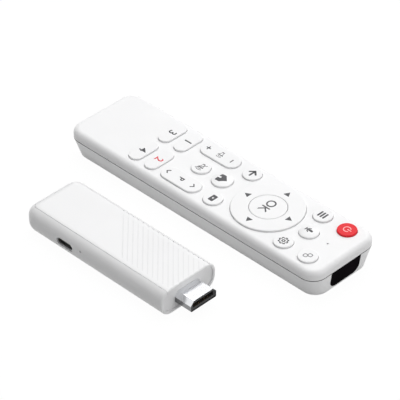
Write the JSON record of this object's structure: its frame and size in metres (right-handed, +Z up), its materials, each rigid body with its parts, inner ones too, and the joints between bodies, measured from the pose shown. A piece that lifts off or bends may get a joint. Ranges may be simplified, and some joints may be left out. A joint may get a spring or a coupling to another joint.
{
  "type": "streaming box",
  "caption": "Slim white media streaming stick with a video plug at one end, set beside its long white remote control with round keys, a tilting dial and rockers.",
  "frame": {"origin": "centre of the stick's flat base", "axes": "+X out of the stick's plug, +Y across to the remote that lies parallel to it, +Z up; the remote's signal window faces +X"},
  "size_m": [0.1405, 0.0858, 0.0155],
  "materials": {
    "stick_plastic": "satin moulded white",
    "end_plastic": "satin moulded pale grey",
    "plug_metal": "bright plated",
    "black_plastic": "matt black",
    "contact_gold": "gold plated",
    "board_laminate": "solder mask",
    "chip_resin": "moulded resin",
    "can_metal": "tinned sheet",
    "spreader_metal": "plain sheet",
    "pad_grey": "soft pad",
    "plunger_black": "matt black",
    "remote_plastic": "satin moulded white",
    "window_black": "polished dark lens",
    "key_white": "satin white caps with printed marks",
    "power_red": "satin red cap",
    "mat_rubber": "translucent grey silicone",
    "screw_steel": "zinc plated",
    "lamp_clear": "tinted clear resin",
    "cell_wrap": "printed sleeve, left plain",
    "spring_steel": "nickel plated"
  },
  "bodies": {
    "stick": {"stick_top_cover": "stick_plastic", "stick_lower_shell": "stick_plastic", "end_plate": "end_plastic", "plug_shell": "plug_metal", "plug_insulator": "black_plastic", "socket_tongue": "black_plastic", "plug_contacts": "contact_gold", "socket_contacts": "contact_gold", "stick_board": "board_laminate", "processor": "chip_resin", "memory_chips": "chip_resin", "flash_chip": "chip_resin", "radio_module": "chip_resin", "power_coils": "chip_resin", "reset_switch": "chip_resin", "shield_can": "can_metal", "aerials": "can_metal", "socket_shell": "can_metal", "clock_crystal": "can_metal", "heat_spreader": "spreader_metal", "thermal_pad": "pad_grey"},
    "remote": {"remote_top_case": "remote_plastic", "remote_bottom_case": "remote_plastic", "signal_window": "window_black", "key_mat": "mat_rubber", "contact_domes": "can_metal", "remote_board": "board_laminate", "board_screws": "screw_steel", "signal_lamp": "lamp_clear", "remote_chip": "chip_resin", "microphone": "can_metal", "battery_cells": "cell_wrap", "battery_springs": "spring_steel", "battery_plates": "spring_steel"},
    "power_key": {"power_key": "power_red"},
    "source_key": {"source_key": "key_white"},
    "menu_key": {"menu_key": "key_white"},
    "settings_key": {"settings_key": "key_white"},
    "voice_key": {"voice_key": "key_white"},
    "back_key": {"back_key": "key_white"},
    "guide_key": {"guide_key": "key_white"},
    "home_key": {"home_key": "key_white"},
    "mute_key": {"mute_key": "key_white"},
    "ok_key": {"ok_key": "key_white"},
    "app_key_1": {"app_key_1": "key_white"},
    "app_key_2": {"app_key_2": "key_white"},
    "app_key_3": {"app_key_3": "key_white"},
    "app_key_4": {"app_key_4": "key_white"},
    "dial_ring": {"dial_ring": "key_white"},
    "dial_collar": {"dial_collar": "mat_rubber"},
    "volume_rocker": {"volume_rocker": "key_white"},
    "channel_rocker": {"channel_rocker": "key_white"},
    "battery_door": {"battery_door": "remote_plastic"},
    "reset_plunger": {"reset_plunger": "plunger_black"}
  },
  "joints": [
    {"name": "reset_press", "type": "slide", "parent": "stick", "child": "reset_plunger", "axis": [0, 1, 0], "range_m": [0, 0.00025], "stiffness_N_per_m": 400},
    {"name": "remote_lift", "type": "slide", "parent": "stick", "child": "remote", "axis": [0, 0, 1], "range_m": [0, 0.06]},
    {"name": "battery_door_slide", "type": "slide", "parent": "remote", "child": "battery_door", "axis": [-1, 0, 0], "range_m": [0, 0.056]},
    {"name": "power_press", "type": "slide", "parent": "remote", "child": "power_key", "axis": [0, 0, -1], "range_m": [0, 0.0006], "stiffness_N_per_m": 400},
    {"name": "source_press", "type": "slide", "parent": "remote", "child": "source_key", "axis": [0, 0, -1], "range_m": [0, 0.0006], "stiffness_N_per_m": 400},
    {"name": "menu_press", "type": "slide", "parent": "remote", "child": "menu_key", "axis": [0, 0, -1], "range_m": [0, 0.0006], "stiffness_N_per_m": 400},
    {"name": "settings_press", "type": "slide", "parent": "remote", "child": "settings_key", "axis": [0, 0, -1], "range_m": [0, 0.0006], "stiffness_N_per_m": 400},
    {"name": "voice_press", "type": "slide", "parent": "remote", "child": "voice_key", "axis": [0, 0, -1], "range_m": [0, 0.0006], "stiffness_N_per_m": 400},
    {"name": "back_press", "type": "slide", "parent": "remote", "child": "back_key", "axis": [0, 0, -1], "range_m": [0, 0.0006], "stiffness_N_per_m": 400},
    {"name": "guide_press", "type": "slide", "parent": "remote", "child": "guide_key", "axis": [0, 0, -1], "range_m": [0, 0.0006], "stiffness_N_per_m": 400},
    {"name": "home_press", "type": "slide", "parent": "remote", "child": "home_key", "axis": [0, 0, -1], "range_m": [0, 0.0006], "stiffness_N_per_m": 400},
    {"name": "mute_press", "type": "slide", "parent": "remote", "child": "mute_key", "axis": [0, 0, -1], "range_m": [0, 0.0006], "stiffness_N_per_m": 400},
    {"name": "ok_press", "type": "slide", "parent": "remote", "child": "ok_key", "axis": [0, 0, -1], "range_m": [0, 0.0006], "stiffness_N_per_m": 400},
    {"name": "app_1_press", "type": "slide", "parent": "remote", "child": "app_key_1", "axis": [0, 0, -1], "range_m": [0, 0.0006], "stiffness_N_per_m": 400},
    {"name": "app_2_press", "type": "slide", "parent": "remote", "child": "app_key_2", "axis": [0, 0, -1], "range_m": [0, 0.0006], "stiffness_N_per_m": 400},
    {"name": "app_3_press", "type": "slide", "parent": "remote", "child": "app_key_3", "axis": [0, 0, -1], "range_m": [0, 0.0006], "stiffness_N_per_m": 400},
    {"name": "app_4_press", "type": "slide", "parent": "remote", "child": "app_key_4", "axis": [0, 0, -1], "range_m": [0, 0.0006], "stiffness_N_per_m": 400},
    {"name": "dial_tip_along", "type": "hinge", "parent": "remote", "child": "dial_collar", "pos_m": [0.0332, 0.0519, 0.0128], "axis": [0, 1, 0], "range_deg": [-1.5, 1.5], "stiffness_Nm_per_rad": 0.4},
    {"name": "dial_tip_across", "type": "hinge", "parent": "dial_collar", "child": "dial_ring", "pos_m": [0.0332, 0.0519, 0.0128], "axis": [1, 0, 0], "range_deg": [-1.5, 1.5], "stiffness_Nm_per_rad": 0.4},
    {"name": "volume_rock", "type": "hinge", "parent": "remote", "child": "volume_rocker", "pos_m": [-0.0046, 0.0634, 0.0128], "axis": [0, 1, 0], "range_deg": [-2.5, 2.5], "stiffness_Nm_per_rad": 0.3},
    {"name": "channel_rock", "type": "hinge", "parent": "remote", "child": "channel_rocker", "pos_m": [-0.0046, 0.0404, 0.0128], "axis": [0, 1, 0], "range_deg": [-2.5, 2.5], "stiffness_Nm_per_rad": 0.3}
  ]
}
